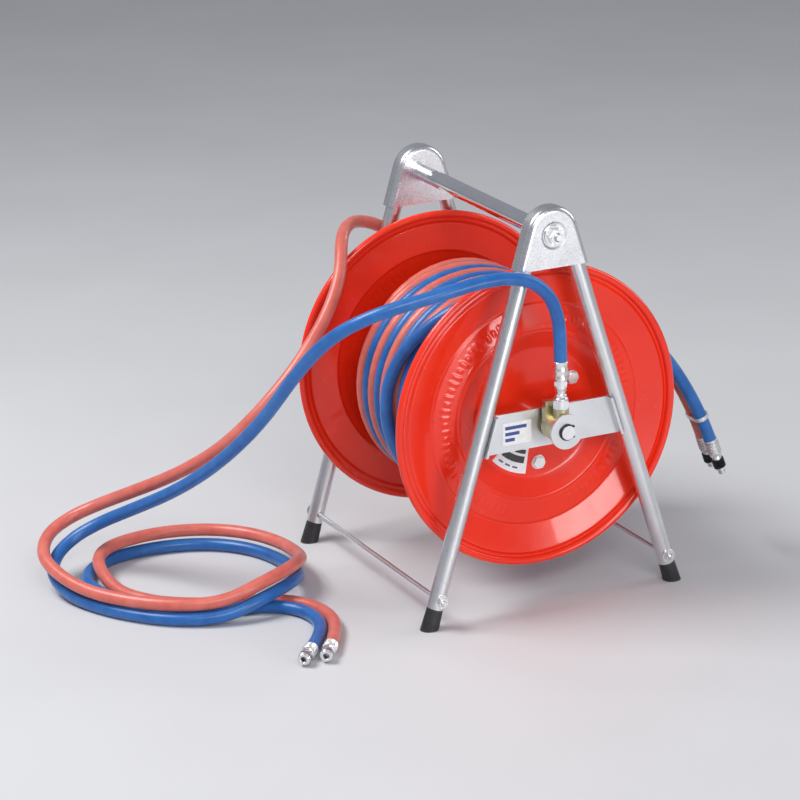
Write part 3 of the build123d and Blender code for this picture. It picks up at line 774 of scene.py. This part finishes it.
def wound_stages(lane, ending):
    """Turns, radius and place along the drum at the start and end of each stage, and a swing."""
    near = pack_low.y / MM + HOSE_R + 0.1 + lane * HOSE_PITCH
    far = pack_high.y / MM - HOSE_R - 0.1 - (1 - lane) * HOSE_PITCH
    layer_step = (PACK_R - CORE_R - 2 * HOSE_R) / (LAYERS - 1)
    turns = (far - near) / (2 * HOSE_PITCH)
    stages = []
    for layer in range(LAYERS):
        radius = CORE_R + HOSE_R + layer * layer_step
        start, end = (near, far) if layer % 2 == 0 else (far, near)
        stages.append((turns, radius, radius, start, end, 0.0))
        if layer < LAYERS - 1:
            stages.append((0.40, radius, radius + layer_step, end, end, 0.0))
    return stages + ending(near, radius)


def blue_ending(near, radius):
    """Holds, climbs onto the pack, swings across it and comes back to the near side."""
    return [
        (0.25, radius, radius, near, near, 0.0),
        (0.40, radius, TOP_R, near, near, 0.0),
        (0.55, TOP_R, TOP_R, near, -104.0, 80.0),
        (0.05, TOP_R, TOP_R, -104.0, -104.0, 0.0),
    ]


def red_ending(near, radius):
    """Holds, then climbs just before it leaves."""
    return [(0.15, radius, radius, near, near, 0.0), (0.10, radius, TOP_R, near, -87.0, 0.0)]


def wound_route(lane, ending):
    """Control points of one hose wound in layers, from the core out to where it leaves."""
    stages = wound_stages(lane, ending)
    total = sum(stage[0] for stage in stages)
    # The corners of the control polygon stand outside the circle that the line follows
    reach = 1 / math.cos(math.pi / POINTS_PER_TURN)
    count = round(total * POINTS_PER_TURN)
    points = []
    for index in range(count + 1):
        turn = total * index / count
        done, number = 0.0, 0
        while number < len(stages) - 1 and turn > done + stages[number][0]:
            done += stages[number][0]
            number += 1
        span, from_r, to_r, from_y, to_y, swing = stages[number]
        share = min(1.0, (turn - done) / span)
        radius = from_r + (to_r - from_r) * smooth(share)
        ease = math.sin(math.pi * share)
        if span > 1:
            along = from_y + (to_y - from_y) * share + wander(turn) * 0.6 * ease
            radius += (wander(turn + 3.0) * 0.4) * ease
        else:
            along = from_y + (to_y - from_y) * smooth(share)
            along += swing * math.sin(math.pi * smooth(share))
        angle = math.radians(LEAVE_ANGLE) + math.tau * (total - turn)
        out = radius * (1.0 if index in (0, count) else reach)
        points.append(
            (out * math.cos(angle) * MM, along * MM, HUB_Z + out * math.sin(angle) * MM)
        )
    return points


def make_wound_hoses():
    lanes = (("blue", 0, BLUE_HOSE, blue_ending), ("red", 1, RED_HOSE, red_ending))
    for colour, lane, material, ending in lanes:
        points = wound_route(lane, ending)
        hose = hose_curve(f"wound_hose_{colour}", points, material, "drum", 4, 5)
        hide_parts("wound_hose")


make_wound_hoses()


# ---------------------------------------------------------------- flanges

FLANGE_T = 1.25
BEAD_R = 4.5
# Radius and depth below the rim plane of the outer face, from the hub to the rim
FLANGE_FACE = (
    (8.0, 14.0),
    (34.0, 14.0),
    (74.5, 14.0),
    (79.0, 12.7),
    (95.5, 5.3),
    (97.6, 4.0),
    (99.4, 3.8),
    (101.0, 4.9),
    (105.0, 5.2),
    (107.0, 5.8),
    (125.0, 9.0),
    (129.0, 9.5),
    (130.3, 10.3),
    (131.6, 11.5),
    (134.5, 10.6),
    (160.0, 3.0),
    (162.5, 2.4),
    (164.0, 3.6),
    (165.5, 5.0),
    (169.2, 5.2),
)
BAND = (111.0, 121.0)  # radii of the embossed ring of ribs
FLANGE_STEPS = 720
RIB_STEPS = 8  # one rib and its gap
RIB_HEIGHT = 0.55


def softened(points, rounds=2):
    """Cuts each corner of an open outline, which rounds it like pressed sheet."""
    for _ in range(rounds):
        cut = [points[0]]
        for (ar, ad), (br, bd) in zip(points, points[1:]):
            cut.append((ar * 0.75 + br * 0.25, ad * 0.75 + bd * 0.25))
            cut.append((ar * 0.25 + br * 0.75, ad * 0.25 + bd * 0.75))
        cut.append(points[-1])
        points = cut
    return points


def rib_at(step, radius):
    """Raised height of the embossed ribs, which run in two arcs with gaps between them."""
    if not BAND[0] < radius < BAND[1]:
        return 0.0
    share = (step / FLANGE_STEPS + 0.25) % 0.5
    if not 0.055 < share < 0.445:
        return 0.0
    within = step % RIB_STEPS
    if within > 4:
        return 0.0
    number = (step // RIB_STEPS) % 5
    middle = (BAND[0] + BAND[1]) / 2
    reach = (BAND[1] - BAND[0]) / 2 * (1.0 if number in (0, 2, 3) else 0.62)
    if abs(radius - middle) > reach:
        return 0.0
    return RIB_HEIGHT * (0.5 if within in (0, 4) else 1.0)


def flange_mesh():
    """Pressed disc with a rolled bead and an embossed ring. Local +Z is out."""
    face = softened(list(FLANGE_FACE))
    dense = []
    for (ar, ad), (br, bd) in zip(face, face[1:]):
        pieces = max(1, int((br - ar) / (1.6 if BAND[0] - 4 < ar < BAND[1] + 2 else 9.0)))
        for index in range(pieces):
            share = index / pieces
            dense.append((ar + (br - ar) * share, ad + (bd - ad) * share))
    dense.append(face[-1])
    bead_centre = (FLANGE_R - BEAD_R, BEAD_R)
    bead = []
    for step in range(23):
        angle = math.radians(188 - step * 14.5)
        bead.append(
            (bead_centre[0] + BEAD_R * math.cos(angle), bead_centre[1] - BEAD_R * math.sin(angle))
        )
    outline = [(r, d, 1.0) for r, d in dense] + [(r, d, 0.0) for r, d in bead]
    outline += [(r, d + FLANGE_T, 1.0) for r, d in reversed(dense)]
    points, faces = [], []
    width = len(outline)
    for step in range(FLANGE_STEPS):
        angle = math.tau * step / FLANGE_STEPS
        for radius, depth, ribbed in outline:
            raised = rib_at(step, radius) * ribbed
            points.append((radius * math.cos(angle), radius * math.sin(angle), raised - depth))
    for step in range(FLANGE_STEPS):
        other = (step + 1) % FLANGE_STEPS
        for index in range(width):
            after = (index + 1) % width
            faces.append(
                (
                    step * width + index,
                    other * width + index,
                    other * width + after,
                    step * width + after,
                )
            )
    return points, faces


def make_flanges():
    shape = flange_mesh()
    for name, side in SIDES:
        piece = Piece(f"{name}_flange_pressed").add(shape, out_from(side, RIM_OUT))
        piece.make(RED, "drum", [f"{name}_flange"], sharp=50)


make_flanges()


# ---------------------------------------------------------------- fasteners and small parts

HANDLE_WASHER_T = 2.0
HANDLE_NUT_AF = 16.5
TIE_WASHER_T = 1.6
TIE_NUT_AF = 10.0
BOLT_ANGLES = (35.0, -85.0, 155.0)
BOLT_CIRCLE_R = 60.0
BOLT_HEAD_AF = 13.0
BOLT_HEAD_T = 5.3
BOLT_FACE_T = 1.2  # round washer face under the hexagon
CIRCLIP_T = 1.2


def make_handle_fasteners():
    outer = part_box("far_bracket")[1].y / MM
    washer_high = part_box("handle_washers")[1]
    nut_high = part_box("handle_nuts")[1]
    rod_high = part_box("handle_rod")[1]
    handle_z = centre_of("handle_bar").z
    washer_out = washer_high.y / MM
    nut_t = nut_high.y / MM - washer_out
    washers = Piece("handle_washers_turned")
    nuts = Piece("handle_nuts_chamfered")
    for _, side in SIDES:
        start = washer_out - HANDLE_WASHER_T
        washers.add(washer(5.3, 12.0, HANDLE_WASHER_T), out_from(side, start, 0, handle_z))
        nuts.add(hex_nut(HANDLE_NUT_AF, nut_t, 4.9), out_from(side, washer_out, 0, handle_z))
    washers.make(ZINC, "stand", ["handle_washers"])
    nuts.make(ZINC, "stand", ["handle_nuts"], sharp=28)
    rod = Piece("handle_rod_threaded")
    reach = rod_high.y / MM
    plain = outer - 2
    shank = lathe([(-plain, 0), (-plain, 4.6), (plain, 4.6), (plain, 0)], 48, False)
    rod.add(shank, out_from(1, 0, 0, handle_z))
    for _, side in SIDES:
        rod.add(threaded(5.0, outer - 6, reach, 1.5), out_from(side, 0, 0, handle_z))
    rod.make(ZINC, "stand", ["handle_rod"], sharp=28)


def make_tie_fasteners():
    washers = Piece("tie_rod_washers_turned")
    nuts = Piece("tie_rod_nuts_chamfered")
    washer_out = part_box("tie_rod_washers")[1].y / MM
    nut_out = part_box("tie_rod_nuts")[1].y / MM
    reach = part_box("tie_rod_left")[1].y / MM
    for word in ("left", "right"):
        place = centre_of(f"tie_rod_{word}")
        rod = Piece(f"tie_rod_{word}_threaded")
        plain = reach - 22
        shank = lathe([(-plain, 0), (-plain, 2.9), (plain, 2.9), (plain, 0)], 40, False)
        rod.add(shank, out_from(1, 0, place.x, place.z))
        for _, side in SIDES:
            start = washer_out - TIE_WASHER_T
            washers.add(washer(3.3, 8.0, TIE_WASHER_T), out_from(side, start, place.x, place.z))
            nut = hex_nut(TIE_NUT_AF, nut_out - washer_out, 2.9)
            nuts.add(nut, out_from(side, washer_out, place.x, place.z))
            rod.add(threaded(3.0, plain - 1, reach, 1.0), out_from(side, 0, place.x, place.z))
        rod.make(ZINC, "stand", [f"tie_rod_{word}"], sharp=28)
    washers.make(ZINC, "stand", ["tie_rod_washers"])
    nuts.make(ZINC, "stand", ["tie_rod_nuts"], sharp=28)


def make_flange_bolts():
    """Hexagon screws on a round washer face, with their thread inside the hub."""
    bolts = Piece("flange_bolts_hexagon")
    head_out = -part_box("flange_bolts")[0].y / MM
    face_out = head_out - BOLT_HEAD_T
    for _, side in SIDES:
        for angle in BOLT_ANGLES:
            x = BOLT_CIRCLE_R * math.cos(math.radians(angle)) * MM
            z = HUB_Z + BOLT_CIRCLE_R * math.sin(math.radians(angle)) * MM
            bolts.add(washer(3.5, 8.5, BOLT_FACE_T), out_from(side, face_out, x, z))
            head = hex_nut(BOLT_HEAD_AF, BOLT_HEAD_T - BOLT_FACE_T, 0)
            bolts.add(head, out_from(side, face_out + BOLT_FACE_T, x, z))
            shank = threaded(4.0, 0, 12.0, 1.25)
            inner = placed((x, side * face_out * MM, z), (0, -side, 0))
            bolts.add(shank, inner)
    bolts.make(ZINC, "drum", ["flange_bolts"], sharp=28)


def circlip():
    """Open spring ring with two eared ends, lying on the local XY plane."""
    inner_r, outer_r, ear_r = 7.6, 9.3, 10.9
    opening = math.radians(62)
    steps = 72
    ring = []
    for step in range(steps + 1):
        share = step / steps
        angle = opening / 2 + (math.tau - opening) * share
        near_end = min(share, 1 - share) * steps
        outer = ear_r if near_end < 4 else outer_r + 0.5 * math.sin(math.pi * share)
        ring.append((angle, inner_r, outer))
    points, faces = [], []
    for angle, inner, outer in ring:
        for radius, along in ((inner, 0), (outer, 0), (outer, CIRCLIP_T), (inner, CIRCLIP_T)):
            points.append((radius * math.cos(angle), radius * math.sin(angle), along))
    for step in range(steps):
        for index in range(4):
            after = (index + 1) % 4
            base, other = step * 4, step * 4 + 4
            faces.append((base + index, other + index, other + after, base + after))
    faces.append((0, 1, 2, 3))
    faces.append(tuple(steps * 4 + index for index in (3, 2, 1, 0)))
    return points, faces


def make_circlips():
    clips = Piece("axle_circlips_eared")
    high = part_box("axle_circlips")[1].y / MM
    for _, side in SIDES:
        clips.add(circlip(), out_from(side, high - CIRCLIP_T))
    clips.make(DARK, "drum", ["axle_circlips"])


def make_inlets():
    """Union nuts, hose tails and crimped ferrules that stand on the swivels."""
    nuts = Piece("inlet_nuts_chamfered")
    ferrules = Piece("inlet_ferrules_crimped")
    nut_low, nut_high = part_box("inlet_nuts")
    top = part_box("inlet_ferrules")[1].z
    for name, _ in SIDES:
        tail_low, tail_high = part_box(f"{name}_inlet_nipple")
        middle = (tail_low + tail_high) / 2
        foot = Vector((middle.x, middle.y, nut_low.z))
        nut_t = (nut_high.z - nut_low.z) / MM
        nuts.add(hex_nut(17.0, nut_t * 0.62, 4.9), placed(foot, UP))
        collar = [(nut_t * 0.60, 4.9), (nut_t * 0.60, 7.9), (nut_t * 0.72, 7.9)]
        collar.append((nut_t * 0.80, 6.6))
        collar += [(nut_t * 0.96, 6.6), (nut_t, 6.2), (nut_t, 4.9)]
        nuts.add(lathe(collar), placed(foot, UP))
        tail = Piece(f"{name}_inlet_nipple_turned")
        hexagon_at = Vector((middle.x, middle.y, nut_high.z))
        tail_t = (tail_high.z - nut_high.z) / MM
        waist = [(-20.0, 2.5), (-20.0, 4.95), (3.0, 4.95), (3.6, 6.4), (4.4, 6.4), (5.0, 5.4)]
        waist += [(6.5, 5.4), (7.0, 6.9), (tail_t - 2.5, 6.9), (tail_t - 2.0, 4.9)]
        waist += [(tail_t, 4.9), (tail_t, 2.5)]
        tail.add(lathe(waist), placed(hexagon_at, UP))
        tail.add(
            hex_nut(14.0, 6.0, 4.9), placed(hexagon_at + UP * (tail_t - 9.5) * MM, UP)
        )
        tail.make(ZINC, "stand", [f"{name}_inlet_nipple"], sharp=28)
        start = (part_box("inlet_ferrules")[0].z - top) / MM
        ferrules.add(
            crimped_ferrule(start, 0.0, 2),
            placed((middle.x, middle.y, top + start * MM), UP)
            @ Matrix.Rotation(math.pi, 4, "X"),
        )
    nuts.make(ZINC, "stand", ["inlet_nuts"], sharp=28)
    ferrules.make(FERRULE, "stand", ["inlet_ferrules"], sharp=28)


make_handle_fasteners()
make_tie_fasteners()
make_flange_bolts()
make_circlips()
make_inlets()


# ---------------------------------------------------------------- labels


BAR_FACE = -162.0  # outer face of the near crossbar
HUB_DEPTH = 14.0  # of the flat hub disc, below the rim plane
LABEL_T = 0.25
PRINT_T = 0.33  # the bars stand a little above the label


def plate_mesh(outline, thickness):
    """Flat shape with the given (x, z) outline, its back on y = 0 and its face towards -Y."""
    count = len(outline)
    points = [(x, 0, z) for x, z in outline] + [(x, -thickness, z) for x, z in outline]
    faces = [tuple(range(count)), tuple(range(2 * count - 1, count - 1, -1))]
    for index in range(count):
        after = (index + 1) % count
        faces.append((index, after, count + after, count + index))
    return points, faces


def sector(inner, outer, start, end, steps=16):
    """Outline of a ring sector about the hub, angles in degrees above +X."""
    angles = [math.radians(start + (end - start) * step / steps) for step in range(steps + 1)]
    outline = [(outer * math.cos(a), outer * math.sin(a)) for a in angles]
    return outline + [(inner * math.cos(a), inner * math.sin(a)) for a in reversed(angles)]


def make_labels():
    """A plain label on the near crossbar and a fan-shaped one on the hub, with generic bars."""
    at_bar = Matrix.Translation((0, BAR_FACE * MM, 0))
    corners = ((-62, 201), (-26, 201), (-26, 227), (-62, 227))
    Piece("crossbar_label").add(plate_mesh(corners, LABEL_T), at_bar).make(LABEL_WHITE, "stand")
    bars = Piece("crossbar_label_bars")
    for left, right, low, high in (
        (-59, -32, 219, 223),
        (-59, -41, 212, 216),
        (-59, -47, 205, 209),
    ):
        outline = ((left, low), (right, low), (right, high), (left, high))
        bars.add(plate_mesh(outline, PRINT_T), at_bar)
    bars.make(LABEL_BLUE, "stand")
    hub_face = -(RIM_OUT - HUB_DEPTH)
    at_hub = Matrix.Translation((0, hub_face * MM, HUB_Z))
    label = plate_mesh(sector(34, 72, 222, 261), LABEL_T)
    Piece("hub_label").add(label, at_hub).make(LABEL_WHITE, "drum")
    marks = Piece("hub_label_marks")
    marks.add(plate_mesh(sector(52, 60, 226, 257), PRINT_T), at_hub)
    marks.add(plate_mesh(sector(44, 49, 240, 257), PRINT_T), at_hub)
    marks.make(LABEL_BLACK, "drum")
    lines = Piece("hub_label_lines")
    for start in (227, 236, 245):
        lines.add(plate_mesh(sector(65, 67, start, start + 6), PRINT_T), at_hub)
    lines.make(LABEL_BLUE, "drum")


make_labels()


# ---------------------------------------------------------------- floor and light


def make_stage():
    """Plain pale floor that runs out of sight on every side."""
    reach = 40.0
    corners = [(-reach, -reach, 0), (reach, -reach, 0), (reach, reach, 0), (-reach, reach, 0)]
    mesh = bpy.data.meshes.new("floor")
    mesh.from_pydata(corners, [], [(0, 1, 2, 3)])
    floor = bpy.data.objects.new("floor", mesh)
    bpy.context.scene.collection.objects.link(floor)
    shading = Shading("floor_paper", metallic=0.0)
    greys = [(0.3, (0.60, 0.60, 0.61)), (0.7, (0.63, 0.63, 0.64))]
    tone = shading.ramp(shading.noise(3.0, 2.0), greys)
    shading.link(tone, shading.shader.inputs["Base Color"])
    shading.shader.inputs["Roughness"].default_value = 0.55
    mesh.materials.append(shading.material)


def area_light(name, place, target, size, power, size_y=None):
    data = bpy.data.lights.new(name, "AREA")
    data.energy = power
    data.shape = "RECTANGLE"
    data.size = size
    data.size_y = size_y or size
    light = bpy.data.objects.new(name, data)
    bpy.context.scene.collection.objects.link(light)
    turn = (Vector(target) - Vector(place)).to_track_quat("-Z", "Y")
    light.matrix_world = Matrix.Translation(Vector(place)) @ turn.to_matrix().to_4x4()


def make_lights():
    aim = (0.0, 0.0, 0.2)
    area_light("key_softbox", (-1.5, 0.6, 2.3), aim, 1.5, 62.0, 1.0)
    area_light("front_softbox", (-0.9, -2.8, 2.2), aim, 1.6, 40.0, 1.0)
    area_light("low_softbox", (0.5, -2.6, 0.42), (0.1, 0.0, 0.15), 1.0, 17.0, 0.5)
    area_light("side_softbox", (2.4, -0.4, 1.3), aim, 1.0, 14.0, 1.6)
    world = bpy.data.worlds.new("studio")
    world.use_nodes = True
    back = world.node_tree.nodes["Background"]
    back.inputs["Color"].default_value = (0.86, 0.90, 1.0, 1.0)
    back.inputs["Strength"].default_value = 0.32
    bpy.context.scene.world = world
    bpy.context.scene.view_settings.view_transform = "Standard"


make_stage()
make_lights()
